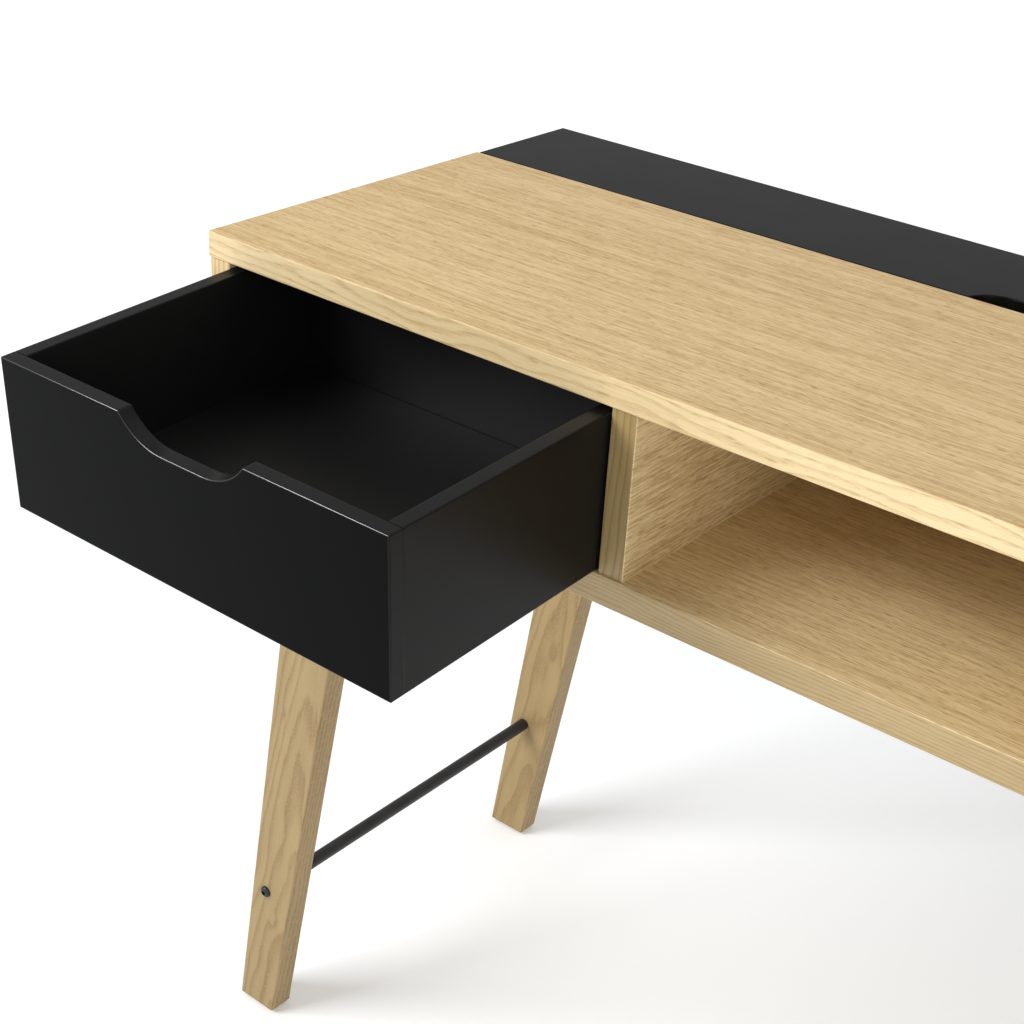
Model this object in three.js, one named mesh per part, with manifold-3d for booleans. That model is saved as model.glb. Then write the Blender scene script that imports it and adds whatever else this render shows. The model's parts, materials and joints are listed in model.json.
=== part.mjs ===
// A small oak writing desk: two plain wooden drawers either side of an open bay, a black lid
// over a cable compartment along the back, and splayed legs tied in pairs by a steel rod.
//
// Millimetres, +Z up. Inside the group X runs from the left end, Y from the front edge of the
// top towards the back and Z from the floor. The group then puts the origin on the floor, at the
// middle of the space that the desk takes up with its left drawer pulled out.

import * as THREE from "three";
import { mergeVertices } from "three/addons/utils/BufferGeometryUtils.js";
import Module from "manifold-3d";

const wasm = await Module();
wasm.setup();

// ---- Overall sizes ----
const deskWidth = 1080;
const deskHeight = 750;
const topDepth = 306.5;
const lidDepth = 116;

// ---- Boards ----
const boardThickness = 20; // top, lid, sides and dividers
const bottomThickness = 22;
const wallThickness = 12; // wall in front of the cable compartment
const backThickness = 16;
const boardEase = 0.8; // flat easing along a board's edges
const frontRecess = 2; // uprights stand this far behind the top's front edge
const bayWidth = 352.7;
const lidInset = 2; // the lid is this much shorter than the top at each end
const seamGap = 0.5; // between the top and the lid

// ---- Notch in the lid, cable outlet in the back ----
const lidNotch = { halfWidth: 77.5, depth: 20.7, radius: 27.7 };
const outletWidth = 110;
const outletHeight = 40;
const outletRadius = 12;
const outletRise = 18; // above the bottom board

// ---- Lid hinges ----
const hingeLength = 64;
const hingeFromEnd = 150;
const leafThickness = 1.5;
const leafDrop = 30; // height of the leaf on the back panel
const leafRise = 15; // height of the leaf on the lid's back edge
const barrelRadius = 3.2;
const hingePinRadius = 1.5;
const barrelShare = 0.4; // middle share of the length, which belongs to the lid's leaf

// ---- Drawers ----
const drawerHeight = 115;
const drawerLength = 283;
const drawerWall = 12;
const drawerFloorThickness = 6;
const drawerFloorRise = 13; // from the bottom edge to the underside of the floor
const grooveDepth = 5;
const drawerSideClearance = 1.35;
const scoop = { halfWidth: 56.5, depth: 19.5, radius: 47 };
const drawerEase = 0.7;
const openTravel = 200; // how far the left drawer stands open
const openDroop = THREE.MathUtils.degToRad(3.0); // nose-down tilt at that travel
const glideLength = 24;
const glideWidth = 10;
const glideRelief = 0.9; // how far the glide's top falls towards the front

// ---- Legs ----
const legFootOuter = 1.1; // from the desk's end to the leg's outer edge at the floor
const legFootWidth = 40.8;
const legTopOuter = 77.5;
const legTopWidth = 62.6;
const legThickness = 23;
const legInset = 18; // from the front edge, and from the back
const legEase = 1.4;
const plateWidth = 96;
const plateDepth = 40;
const plateThickness = 3;
const plateScrewSpan = 80;
const plateScrewRadius = 2.5;
const plateScrewLength = 16;
const plateScrewHead = { radius: 4.6, height: 2.4 };
const padThickness = 2.5;
const padMargin = 4;

// ---- Rods between front and back legs ----
const rodRadius = 6;
const rodHeight = 140.5;
const rodFromEnd = 36;
const rodScrewRadius = 3;
const rodScrewLength = 46;
const rodScrewHead = { radius: 5.3, height: 3.3, socketRadius: 2, socketDepth: 1.9 };

// ---- Clearances ----
const jointGap = 0.3; // between pieces that touch
const holeClearance = 0.3; // round a screw or a pin
const drawerHeadroom = 0.85; // over a closed drawer
const drawerBackRoom = 5; // behind a closed drawer
const dipClearance = 0.27; // between a half-open drawer and the bottom board's front edge

// ---- Levels and places that follow ----

// A drawer pivots on its glides and tilts in proportion to its travel, so its bottom edge comes
// nearest to the bottom board's front edge at half of the pivot's way out. The glides lift it
// by what it dips there.
const glidePivot = drawerLength - glideLength / 2;
const pivotDepth = frontRecess + glidePivot; // from the case's front, with the drawer closed
const glideLift = (pivotDepth ** 2 / 4) * (openDroop / openTravel) + dipClearance;

const bayHeight = drawerHeight + glideLift + drawerHeadroom;
const wallFront = frontRecess + drawerLength + drawerBackRoom;
const deskDepth = topDepth + seamGap + lidDepth;
const topUnderside = deskHeight - boardThickness;
const bayFloor = topUnderside - bayHeight;
const caseUnderside = bayFloor - bottomThickness;
const legTop = caseUnderside - plateThickness - 2 * jointGap;
const hingeAxisY = deskDepth + jointGap + barrelRadius;
const drawerWidth = bayWidth - 2 * drawerSideClearance;

// ---- Finishes ----
function finish(color, roughness, metalness = 0) {
  return new THREE.MeshStandardMaterial({ color, roughness, metalness });
}

const finishes = {
  oak: () => finish(0xcda876, 0.55),
  oakEdge: () => finish(0xd6b382, 0.55),
  oakSolid: () => finish(0xcfa470, 0.5),
  blackLacquer: () => finish(0x1d1d1e, 0.38),
  blackLid: () => finish(0x2b2b2d, 0.42),
  blackSteel: () => finish(0x18181a, 0.4, 0.6),
  zincSteel: () => finish(0xa9acae, 0.35, 0.9),
  nylon: () => finish(0x2a2a2a, 0.6),
  felt: () => finish(0x3b3936, 0.95),
};

// ---- Solids ----

// A closed geometry as a solid that can be cut.
function solidOf(geometry) {
  const bare = geometry.index ? geometry.toNonIndexed() : geometry.clone();
  bare.deleteAttribute("normal");
  bare.deleteAttribute("uv");
  const merged = mergeVertices(bare, 1e-4);
  return new wasm.Manifold(
    new wasm.Mesh({
      numProp: 3,
      vertProperties: new Float32Array(merged.attributes.position.array),
      triVerts: new Uint32Array(merged.index.array),
    }),
  );
}

function geometryOf(solid) {
  const mesh = solid.getMesh();
  const geometry = new THREE.BufferGeometry();
  geometry.setAttribute("position", new THREE.BufferAttribute(mesh.vertProperties, 3));
  geometry.setIndex(new THREE.BufferAttribute(mesh.triVerts, 1));
  const flat = geometry.toNonIndexed();
  flat.computeVertexNormals();
  return flat;
}

function cut(geometry, ...tools) {
  let solid = solidOf(geometry);
  for (const tool of tools) solid = solid.subtract(solidOf(tool));
  return geometryOf(solid);
}

function join(...geometries) {
  let solid = solidOf(geometries[0]);
  for (const geometry of geometries.slice(1)) solid = solid.add(solidOf(geometry));
  return geometryOf(solid);
}

// A box from one corner to the other.
function block(low, high) {
  const size = high.map((value, axis) => value - low[axis]);
  const box = new THREE.BoxGeometry(...size);
  return box.translate(...low.map((value, axis) => value + size[axis] / 2));
}

function rectangle(width, height) {
  const shape = new THREE.Shape();
  shape.moveTo(0, 0);
  shape.lineTo(width, 0);
  shape.lineTo(width, height);
  shape.lineTo(0, height);
  shape.closePath();
  return shape;
}

function circlePath(x, y, radius) {
  const path = new THREE.Path();
  path.absarc(x, y, radius, 0, 2 * Math.PI, true);
  return path;
}

// An outline in XY made thick along +Z from zero, with its edges eased at both faces.
function slab(outline, thickness, ease) {
  const geometry = new THREE.ExtrudeGeometry(outline, {
    depth: thickness - 2 * ease,
    bevelEnabled: ease > 0,
    bevelThickness: ease,
    bevelSize: ease,
    bevelOffset: -ease,
    bevelSegments: 1,
    curveSegments: 10,
  });
  return geometry.translate(0, 0, ease);
}

// The same for an outline in XZ made thick along +Y, and one in YZ made thick along +X.
function slabAlongY(outline, thickness, ease) {
  return slab(outline, thickness, ease)
    .rotateX(Math.PI / 2)
    .translate(0, thickness, 0);
}

function slabAlongX(outline, thickness, ease) {
  return slab(outline, thickness, ease)
    .rotateX(Math.PI / 2)
    .rotateZ(Math.PI / 2);
}

// A turned piece on the Z axis from its half section of [radius, height] points.
function turned(profile, sides = 24) {
  return new THREE.LatheGeometry(
    profile.map(([radius, height]) => new THREE.Vector2(radius, height)),
    sides,
  ).rotateX(Math.PI / 2);
}

function cylinder(radius, length, sides = 24) {
  return turned(
    [
      [0, 0],
      [radius, 0],
      [radius, length],
      [0, length],
    ],
    sides,
  );
}

// Carries an outline along one edge and through a shallow notch in it: a flat bottom between
// two round ends. way is 1 on an edge walked towards +X and -1 on one walked back.
function addNotch(outline, x, y, way, { halfWidth, depth, radius }) {
  const run = Math.sqrt(radius ** 2 - (radius - depth) ** 2);
  const flat = halfWidth - run;
  const centreY = y + way * (depth - radius);
  const entry = Math.atan2(way * (radius - depth), -way * run);
  const exit = Math.atan2(way * (radius - depth), way * run);
  outline.lineTo(x - way * halfWidth, y);
  outline.absarc(x - way * flat, centreY, radius, entry, (way * Math.PI) / 2, true);
  outline.lineTo(x + way * flat, y + way * depth);
  outline.absarc(x + way * flat, centreY, radius, (way * Math.PI) / 2, exit, true);
}

// ---- The desk ----

const desk = new THREE.Group();

function place(parent, name, geometry, material, x = 0, y = 0, z = 0) {
  const mesh = new THREE.Mesh(geometry, material);
  mesh.name = name;
  mesh.position.set(x, y, z);
  parent.add(mesh);
  return mesh;
}

// Where a distance from the desk's end lies, from the left end or from the right one.
const fromEnd = (side, distance) => (side === "left" ? distance : deskWidth - distance);

function topBoard() {
  place(
    desk,
    "top_board",
    slab(rectangle(deskWidth, topDepth), boardThickness, boardEase),
    finishes.oak(),
    0,
    0,
    topUnderside,
  );
}

function lidBoard() {
  const width = deskWidth - 2 * lidInset;
  const outline = new THREE.Shape();
  outline.moveTo(0, 0);
  addNotch(outline, width / 2, 0, 1, lidNotch);
  outline.lineTo(width, 0);
  outline.lineTo(width, lidDepth);
  outline.lineTo(0, lidDepth);
  outline.closePath();
  place(
    desk,
    "lid",
    slab(outline, boardThickness, boardEase),
    finishes.blackLid(),
    lidInset,
    topDepth + seamGap,
    topUnderside,
  );
}

// Two screws hold each leg plate, at these places under the bottom board.
function plateScrewPlaces() {
  const places = [];
  for (const side of ["left", "right"])
    for (const end of ["front", "back"])
      for (const hand of [-1, 1])
        places.push({
          name: `leg_screw_${end}_${side}_${hand < 0 ? "a" : "b"}`,
          x: fromEnd(side, legTopOuter + legTopWidth / 2) + (hand * plateScrewSpan) / 2,
          y: legCentreY(end),
        });
  return places;
}

function legCentreY(end) {
  const fromFront = legInset + legThickness / 2;
  return end === "front" ? fromFront : deskDepth - fromFront;
}

function bottomBoard() {
  const width = deskWidth - 2 * (boardThickness + jointGap);
  const board = slab(rectangle(width, deskDepth), bottomThickness, boardEase);
  board.translate(boardThickness + jointGap, 0, caseUnderside);
  const holeTop = caseUnderside + plateScrewLength - plateThickness - jointGap + 1;
  const holes = plateScrewPlaces().map(({ x, y }) =>
    cylinder(plateScrewRadius + holeClearance, holeTop - caseUnderside + 1, 16).translate(
      x,
      y,
      caseUnderside - 1,
    ),
  );
  place(desk, "bottom_board", cut(board, ...holes), finishes.oak());
}

function sidePanels() {
  const depth = deskDepth - frontRecess;
  const height = topUnderside - caseUnderside - jointGap;
  for (const side of ["left", "right"])
    place(
      desk,
      `${side}_side_panel`,
      slabAlongX(rectangle(depth, height), boardThickness, boardEase),
      finishes.oakEdge(),
      side === "left" ? 0 : deskWidth - boardThickness,
      frontRecess,
      caseUnderside,
    );
}

function dividers() {
  const depth = wallFront - jointGap - frontRecess;
  const height = bayHeight - 2 * jointGap;
  const inner = boardThickness + bayWidth;
  for (const side of ["left", "right"])
    place(
      desk,
      `${side}_divider`,
      slabAlongX(rectangle(depth, height), boardThickness, boardEase),
      finishes.oakEdge(),
      side === "left" ? inner : deskWidth - inner - boardThickness,
      frontRecess,
      bayFloor + jointGap,
    );
}

function compartmentWall() {
  const width = deskWidth - 2 * (boardThickness + jointGap);
  const height = bayHeight - 2 * jointGap;
  place(
    desk,
    "compartment_wall",
    slabAlongY(rectangle(width, height), wallThickness, boardEase / 2),
    finishes.oak(),
    boardThickness + jointGap,
    wallFront,
    bayFloor + jointGap,
  );
}

function backPanel() {
  const width = deskWidth - 2 * (boardThickness + jointGap);
  const height = bayHeight - 2 * jointGap;
  const outline = rectangle(width, height);
  const outlet = new THREE.Path();
  const left = width / 2 - outletWidth / 2 + outletRadius;
  const right = width / 2 + outletWidth / 2 - outletRadius;
  const low = outletRise + outletRadius;
  const high = outletRise + outletHeight - outletRadius;
  outlet.absarc(right, low, outletRadius, -Math.PI / 2, 0, false);
  outlet.absarc(right, high, outletRadius, 0, Math.PI / 2, false);
  outlet.absarc(left, high, outletRadius, Math.PI / 2, Math.PI, false);
  outlet.absarc(left, low, outletRadius, Math.PI, 1.5 * Math.PI, false);
  outlet.closePath();
  outline.holes.push(outlet);
  place(
    desk,
    "back_panel",
    slabAlongY(outline, backThickness, boardEase / 2),
    finishes.oak(),
    boardThickness + jointGap,
    deskDepth - backThickness,
    bayFloor + jointGap,
  );
}

// ---- Lid hinges: a leaf on the back panel, a leaf on the lid's back edge, and a pin ----

function barrel(from, to) {
  const ring = new THREE.Shape();
  ring.absarc(0, 0, barrelRadius, 0, 2 * Math.PI, false);
  ring.holes.push(circlePath(0, 0, hingePinRadius + holeClearance));
  const tube = new THREE.ExtrudeGeometry(ring, {
    depth: to - from,
    bevelEnabled: false,
    curveSegments: 12,
  });
  return tube.rotateX(Math.PI / 2).rotateZ(Math.PI / 2).translate(from, 0, 0);
}

// A leaf with its pin axis along X through the origin. The plate lies against the wood, on the
// side where Y is low, and reaches up the lid or down the back panel.
function hingeLeaf(onLid) {
  const half = hingeLength / 2;
  const middle = (hingeLength * barrelShare) / 2;
  const spans = onLid
    ? [[-middle + jointGap, middle - jointGap]]
    : [
        [-half, -middle],
        [middle, half],
      ];
  const near = -barrelRadius;
  const plate = onLid
    ? block([-half, near, 0], [half, near + leafThickness, leafRise])
    : block([-half, near, -leafDrop], [half, near + leafThickness, 0]);
  const clear = barrelRadius + jointGap;
  const gaps = onLid
    ? [
        [-half - 1, -middle + jointGap],
        [middle - jointGap, half + 1],
      ]
    : [[-middle, middle]];
  const reliefs = gaps.map(([from, to]) => block([from, -clear - 1, -clear], [to, clear, clear]));
  const bores = spans.map(([from, to]) =>
    block(
      [from - 1, -hingePinRadius - holeClearance, -hingePinRadius - holeClearance],
      [to + 1, hingePinRadius + holeClearance, hingePinRadius + holeClearance],
    ),
  );
  return join(cut(plate, ...reliefs, ...bores), ...spans.map(([from, to]) => barrel(from, to)));
}

function lidHinges() {
  for (const side of ["left", "right"]) {
    const hinge = new THREE.Group();
    hinge.position.set(fromEnd(side, hingeFromEnd), hingeAxisY, topUnderside);
    desk.add(hinge);
    place(hinge, `${side}_hinge_back_leaf`, hingeLeaf(false), finishes.blackSteel());
    place(hinge, `${side}_hinge_lid_leaf`, hingeLeaf(true), finishes.blackSteel());
    const pin = cylinder(hingePinRadius, hingeLength, 16)
      .translate(0, 0, -hingeLength / 2)
      .rotateY(Math.PI / 2);
    place(hinge, `${side}_hinge_pin`, pin, finishes.zincSteel());
  }
}

// ---- Drawers, each drawn from its own front left bottom corner ----

const grooveLow = drawerFloorRise - jointGap;
const grooveHigh = drawerFloorRise + drawerFloorThickness + jointGap;

function drawerFront() {
  const outline = new THREE.Shape();
  outline.moveTo(0, 0);
  outline.lineTo(drawerWidth, 0);
  outline.lineTo(drawerWidth, drawerHeight);
  addNotch(outline, drawerWidth / 2, drawerHeight, -1, scoop);
  outline.lineTo(0, drawerHeight);
  outline.closePath();
  const reach = drawerWall - grooveDepth;
  const groove = block(
    [reach, reach, grooveLow],
    [drawerWidth - reach, drawerWall + 1, grooveHigh],
  );
  return cut(slabAlongY(outline, drawerWall, drawerEase), groove);
}

// The left side; the right one is the same board turned round. It starts behind the front.
function drawerSide(hand) {
  const start = drawerWall + jointGap;
  const length = drawerLength - start;
  const side = slabAlongX(rectangle(length, drawerHeight), drawerWall, drawerEase);
  const inner = drawerWall - grooveDepth;
  const groove =
    hand === "left"
      ? block([inner, -1, grooveLow], [drawerWall + 1, length - inner, grooveHigh])
      : block([-1, -1, grooveLow], [grooveDepth, length - inner, grooveHigh]);
  const x = hand === "left" ? 0 : drawerWidth - drawerWall;
  return cut(side, groove).translate(x, start, 0);
}

function drawerBack() {
  const width = drawerWidth - 2 * (drawerWall + jointGap);
  const back = slabAlongY(rectangle(width, drawerHeight), drawerWall, drawerEase);
  const groove = block([-1, -1, grooveLow], [width + 1, grooveDepth, grooveHigh]);
  return cut(back, groove).translate(drawerWall + jointGap, drawerLength - drawerWall, 0);
}

function drawerFloor() {
  const inset = drawerWall - grooveDepth + jointGap;
  return block(
    [inset, inset, drawerFloorRise],
    [drawerWidth - inset, drawerLength - inset, drawerFloorRise + drawerFloorThickness],
  );
}

// A low rocking pad under a back corner. Its top falls away forwards, so the drawer can dip.
function drawerGlide() {
  const half = glideLength / 2;
  const low = jointGap - glideLift;
  const outline = new THREE.Shape();
  outline.moveTo(-half, low);
  outline.lineTo(half, low);
  outline.lineTo(half, -jointGap);
  outline.lineTo(0, -jointGap);
  outline.lineTo(-half, -jointGap - glideRelief);
  outline.closePath();
  return slabAlongX(outline, glideWidth, 0);
}

// travel is how far out the drawer stands, and droop the tilt that goes with it.
function drawer(side, travel, droop) {
  const bayLeft = side === "left" ? boardThickness : deskWidth - boardThickness - bayWidth;
  const left = bayLeft + drawerSideClearance;
  const pivot = new THREE.Group();
  pivot.position.set(left, pivotDepth - travel, bayFloor + glideLift);
  desk.add(pivot);
  const glideInset = (drawerWall - glideWidth) / 2;
  const glides = { left: glideInset, right: drawerWidth - glideInset - glideWidth };
  for (const [hand, x] of Object.entries(glides))
    place(pivot, `${side}_drawer_${hand}_glide`, drawerGlide(), finishes.nylon(), x);

  const box = new THREE.Group();
  box.rotation.x = droop;
  pivot.add(box);
  const pieces = {
    front: drawerFront(),
    left_side: drawerSide("left"),
    right_side: drawerSide("right"),
    back: drawerBack(),
    floor: drawerFloor(),
  };
  for (const [piece, geometry] of Object.entries(pieces))
    place(box, `${side}_drawer_${piece}`, geometry, finishes.blackLacquer(), 0, -glidePivot, 0);
}

// ---- Legs, plates, screws, pads and rods ----

// The left leg; turned half round about a plumb line it is the right one.
function leg(side) {
  const outline = new THREE.Shape();
  outline.moveTo(legFootOuter, padThickness + jointGap);
  outline.lineTo(legFootOuter + legFootWidth, padThickness + jointGap);
  outline.lineTo(legTopOuter + legTopWidth, legTop);
  outline.lineTo(legTopOuter, legTop);
  outline.closePath();
  outline.holes.push(circlePath(rodFromEnd, rodHeight, rodScrewRadius + holeClearance));
  const geometry = slabAlongY(outline, legThickness, legEase);
  return side === "left" ? geometry : geometry.rotateZ(Math.PI).translate(deskWidth, legThickness, 0);
}

function legPlate() {
  const outline = rectangle(plateWidth, plateDepth);
  for (const hand of [-1, 1])
    outline.holes.push(
      circlePath(
        plateWidth / 2 + (hand * plateScrewSpan) / 2,
        plateDepth / 2,
        plateScrewRadius + holeClearance,
      ),
    );
  return slab(outline, plateThickness, 0.4).translate(-plateWidth / 2, -plateDepth / 2, 0);
}

function plateScrew() {
  const { radius, height } = plateScrewHead;
  return turned(
    [
      [0, -height],
      [radius * 0.72, -height],
      [radius, -height * 0.45],
      [radius, 0],
      [plateScrewRadius, 0],
      [plateScrewRadius, plateScrewLength - 3],
      [0, plateScrewLength],
    ],
    16,
  );
}

function footPad() {
  const width = legFootWidth - 2 * padMargin;
  const depth = legThickness - 2 * padMargin;
  return slab(rectangle(width, depth), padThickness, 0.5).translate(-width / 2, -depth / 2, 0);
}

function legs() {
  for (const side of ["left", "right"])
    for (const end of ["front", "back"]) {
      const y = legCentreY(end);
      const foot = fromEnd(side, legFootOuter + legFootWidth / 2);
      const top = fromEnd(side, legTopOuter + legTopWidth / 2);
      const name = `${end}_${side}`;
      place(desk, `leg_${name}`, leg(side), finishes.oakSolid(), 0, y - legThickness / 2);
      place(desk, `foot_pad_${name}`, footPad(), finishes.felt(), foot, y);
      place(
        desk,
        `leg_plate_${name}`,
        legPlate(),
        finishes.blackSteel(),
        top,
        y,
        legTop + jointGap,
      );
    }
  for (const { name, x, y } of plateScrewPlaces())
    place(desk, name, plateScrew(), finishes.zincSteel(), x, y, legTop);
}

// A button-head screw along Y: its head's flat face at zero, its shank towards +Y.
function rodScrew() {
  const { radius, height, socketRadius, socketDepth } = rodScrewHead;
  return turned([
    [0, -height + socketDepth],
    [socketRadius, -height + socketDepth],
    [socketRadius, -height],
    [radius * 0.62, -height],
    [radius * 0.86, -height * 0.72],
    [radius, -height * 0.25],
    [radius, 0],
    [rodScrewRadius, 0],
    [rodScrewRadius, rodScrewLength],
    [0, rodScrewLength],
  ]).rotateX(-Math.PI / 2);
}

function rod(length) {
  const bore = rodScrewRadius + holeClearance;
  const boreDepth = rodScrewLength - legThickness - jointGap + 2;
  return turned([
    [0, boreDepth],
    [bore, boreDepth],
    [bore, 0],
    [rodRadius - 0.6, 0],
    [rodRadius, 0.6],
    [rodRadius, length - 0.6],
    [rodRadius - 0.6, length],
    [bore, length],
    [bore, length - boreDepth],
    [0, length - boreDepth],
  ]).rotateX(-Math.PI / 2);
}

function rods() {
  const start = legInset + legThickness + jointGap;
  for (const side of ["left", "right"]) {
    const x = fromEnd(side, rodFromEnd);
    place(
      desk,
      `rod_${side}`,
      rod(deskDepth - 2 * start),
      finishes.blackSteel(),
      x,
      start,
      rodHeight,
    );
    for (const end of ["front", "back"]) {
      const screw = rodScrew();
      if (end === "back") screw.rotateZ(Math.PI);
      const face = legInset - jointGap;
      place(
        desk,
        `rod_screw_${end}_${side}`,
        screw,
        finishes.blackSteel(),
        x,
        end === "front" ? face : deskDepth - face,
        rodHeight,
      );
    }
  }
}

topBoard();
lidBoard();
bottomBoard();
sidePanels();
dividers();
compartmentWall();
backPanel();
lidHinges();
drawer("left", openTravel, openDroop);
drawer("right", 0, 0);
legs();
rods();

// The drawer's front face, tipped about its glides, is the foremost point of the whole desk.
function foremostY() {
  const pivotY = pivotDepth - openTravel;
  return pivotY - glidePivot * Math.cos(openDroop) - drawerHeight * Math.sin(openDroop);
}

desk.position.set(-deskWidth / 2, -(foremostY() + hingeAxisY + barrelRadius) / 2, 0);

export default desk;
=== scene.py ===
"""Finishing pieces, materials and a small studio for an oak writing desk with black drawers.

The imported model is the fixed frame: every board, leg and screw here takes its size and place
from the frame's nodes and joints. The script is laid out as an add-on and run as a script.
"""

import json
import math

import bmesh
import bpy
from bpy.props import FloatProperty, FloatVectorProperty, IntProperty, PointerProperty
from mathutils import Matrix, Vector


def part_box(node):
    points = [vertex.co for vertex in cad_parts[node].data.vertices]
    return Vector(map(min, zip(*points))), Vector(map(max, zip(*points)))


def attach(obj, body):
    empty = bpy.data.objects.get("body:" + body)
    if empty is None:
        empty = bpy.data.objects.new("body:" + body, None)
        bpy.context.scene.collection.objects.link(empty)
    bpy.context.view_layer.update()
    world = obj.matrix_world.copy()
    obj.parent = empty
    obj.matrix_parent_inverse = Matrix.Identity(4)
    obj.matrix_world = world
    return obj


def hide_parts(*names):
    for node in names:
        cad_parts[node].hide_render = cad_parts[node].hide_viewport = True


bl_info = {
    "name": "Oak Writing Desk",
    "version": (1, 0, 0),
    "blender": (4, 5, 0),
    "location": "3D View > Sidebar > Desk",
    "description": "Builds the finished boards, drawers, legs and fittings of an oak desk",
    "category": "Object",
}

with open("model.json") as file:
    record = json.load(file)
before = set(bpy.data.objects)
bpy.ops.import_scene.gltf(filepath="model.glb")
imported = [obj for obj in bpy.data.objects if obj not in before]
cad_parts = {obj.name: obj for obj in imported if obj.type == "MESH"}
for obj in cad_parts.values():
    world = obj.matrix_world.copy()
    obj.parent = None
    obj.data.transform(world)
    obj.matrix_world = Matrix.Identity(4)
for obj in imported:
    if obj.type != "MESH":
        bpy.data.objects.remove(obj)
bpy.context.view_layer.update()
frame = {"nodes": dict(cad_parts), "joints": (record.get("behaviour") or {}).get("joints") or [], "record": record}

SIDES = ("left", "right")
ENDS = ("front", "back")


# ---- What a user would change ----


def length(name, description, millimetres):
    return FloatProperty(
        name=name,
        description=description,
        default=millimetres / 1000,
        subtype="DISTANCE",
        unit="LENGTH",
    )


def colour(name, description, red, green, blue):
    return FloatVectorProperty(
        name=name,
        description=description,
        default=(red, green, blue),
        subtype="COLOR",
        size=3,
        min=0,
        max=1,
    )


class DeskSizes(bpy.types.PropertyGroup):
    """Sizes that the frame's boxes don't give."""

    board_ease: length("Board easing", "Radius along the edges of the oak boards", 0.9)
    drawer_ease: length("Drawer easing", "Radius along the edges of the drawer boards", 0.9)
    leg_ease: length("Leg easing", "Radius along the edges of the legs", 1.5)
    scoop_half: length("Scoop half width", "Half the drawer scoop's width at the rim", 56.5)
    scoop_depth: length("Scoop depth", "Depth of the drawer's scoop", 19.5)
    scoop_radius: length("Scoop radius", "Radius of the scoop's ends", 47)
    notch_half: length("Notch half width", "Half the lid notch's width at the edge", 77.5)
    notch_depth: length("Notch depth", "Depth of the lid's notch", 20.7)
    notch_radius: length("Notch radius", "Radius of the notch's ends", 27.7)
    screw_radius: length("Hinge screw radius", "Radius of a hinge screw's head", 2.9)
    bumper_radius: length("Bumper radius", "Radius of the felt dots under the lid", 5)
    curve_steps: IntProperty(
        name="Curve steps",
        description="Steps along each round end of a scoop or notch",
        default=16,
        min=4,
    )


class DeskColours(bpy.types.PropertyGroup):
    """Finishes, as linear colours."""

    oak_light: colour("Oak, light", "Oak between the growth lines", 0.735, 0.55, 0.29)
    oak_dark: colour("Oak, dark", "Oak in the growth lines", 0.49, 0.32, 0.135)
    bay_light: colour("Bay oak, light", "The open bay's oak, light", 0.79, 0.63, 0.36)
    bay_dark: colour("Bay oak, dark", "The open bay's oak, dark", 0.53, 0.385, 0.185)
    oak_pore: colour("Oak pores", "The short dark pores", 0.30, 0.165, 0.06)
    # The edge band is a little lighter than the top's oak: partly the band's own wood and partly painted light,
    # for the stronger light on the front edges.
    band_lit_light: colour("Edge band, light", "Edge band between its growth lines", 0.75, 0.595, 0.345)
    band_lit_dark: colour("Edge band, dark", "Edge band in its growth lines", 0.58, 0.425, 0.21)
    # The leg oak is about half as bright as the edge band: painted shade, for the shade under the desk and below
    # the open drawer.
    leg_shaded_light: colour("Leg oak, light", "Solid oak between the growth lines", 0.36, 0.255, 0.112)
    leg_shaded_dark: colour("Leg oak, dark", "Solid oak in the growth lines", 0.235, 0.155, 0.062)
    # The bottom board's front edge is a darker copy of the edge band: painted shade, for the shade under the top
    # and beside the open drawer.
    shelf_shaded_light: colour("Shelf band, light", "The bottom board's front edge, light", 0.445, 0.33, 0.165)
    shelf_shaded_dark: colour("Shelf band, dark", "The bottom board's front edge, dark", 0.32, 0.225, 0.10)
    # The dividers' front edge is about half as bright as the edge band: painted shade, for the shadow of the open
    # drawer.
    upright_shaded_light: colour("Divider band, light", "Dividers' front edge, light", 0.37, 0.265, 0.11)
    upright_shaded_dark: colour("Divider band, dark", "Dividers' front edge, dark", 0.24, 0.165, 0.065)
    lacquer: colour("Lacquer", "The black lacquer of drawers and lid", 0.005, 0.005, 0.005)
    steel: colour("Coated steel", "The rods, plates and hinges", 0.014, 0.014, 0.015)
    zinc: colour("Zinc plate", "Bright screws and hinge pins", 0.62, 0.63, 0.65)
    felt: colour("Felt", "The pads under the legs", 0.035, 0.033, 0.03)
    floor: colour("Floor", "The studio floor", 0.88, 0.9, 0.925)


# ---- Shader maths as Python expressions ----


class Value:
    """An output of a shader node. Python's operators on it build Math nodes."""

    def __init__(self, finish, output):
        self.finish = finish
        self.output = output

    def also(self, name):
        """Another output of the same node."""
        return Value(self.finish, self.output.node.outputs[name])

    def __add__(self, other):
        return self.finish.math("ADD", self, other)

    def __sub__(self, other):
        return self.finish.math("SUBTRACT", self, other)

    def __mul__(self, other):
        return self.finish.math("MULTIPLY", self, other)

    def __truediv__(self, other):
        return self.finish.math("DIVIDE", self, other)

    def __pow__(self, other):
        return self.finish.math("POWER", self, other)

    def __radd__(self, other):
        return self.finish.math("ADD", other, self)

    def __rsub__(self, other):
        return self.finish.math("SUBTRACT", other, self)

    def __rmul__(self, other):
        return self.finish.math("MULTIPLY", other, self)

    def __rtruediv__(self, other):
        return self.finish.math("DIVIDE", other, self)

    def root(self):
        return self.finish.math("SQRT", self)

    def fraction(self):
        return self.finish.math("FRACT", self)

    def rise(self, low, high):
        """0 below low, 1 above high and smooth between. Swap them for a fall."""
        return self.finish.node(
            "MapRange",
            {"interpolation_type": "SMOOTHSTEP"},
            {"Value": self, "From Min": low, "From Max": high, "To Min": 0.0, "To Max": 1.0},
        )


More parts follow.
